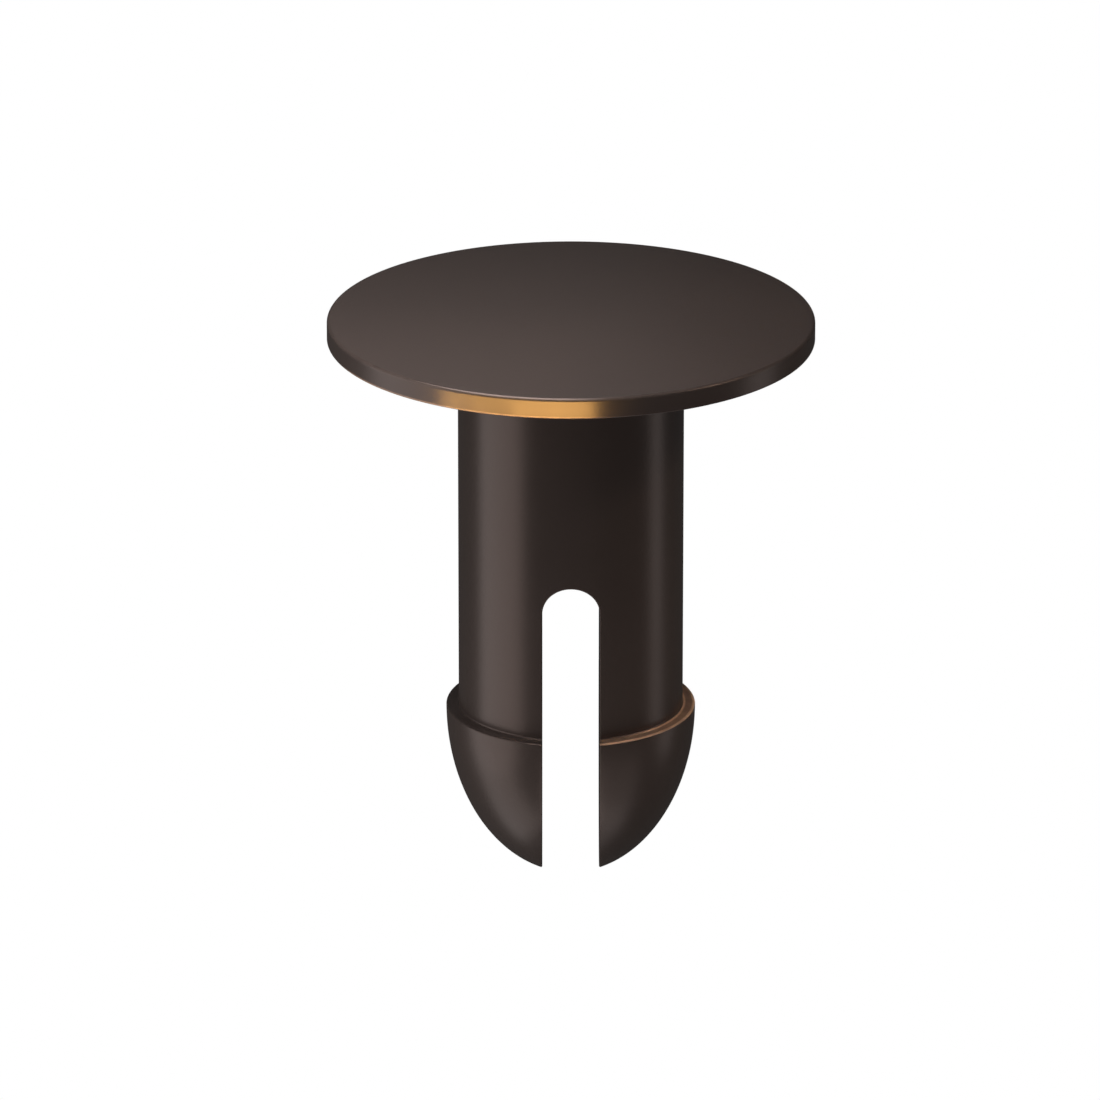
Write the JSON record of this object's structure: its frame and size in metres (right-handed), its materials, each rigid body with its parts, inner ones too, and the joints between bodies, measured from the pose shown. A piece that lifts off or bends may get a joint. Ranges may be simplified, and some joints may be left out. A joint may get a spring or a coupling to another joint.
{
  "type": "push-in rivet",
  "caption": "One-piece plastic push-in rivet: a thin round head, a plain round shank and a bullet-shaped barbed nose, split by a slot so that the legs close as it is pushed in.",
  "frame": {"origin": "centre of the head's outer face, on which the rivet stands", "axes": "+Z from the head along the shank to the nose; the slot runs through along Y and is open at the nose"},
  "size_m": [0.014, 0.014, 0.0168],
  "materials": {
    "moulded_plastic": "dark brown nylon, satin, as moulded"
  },
  "bodies": {
    "root": {"rivet": "moulded_plastic"}
  },
  "joints": []
}
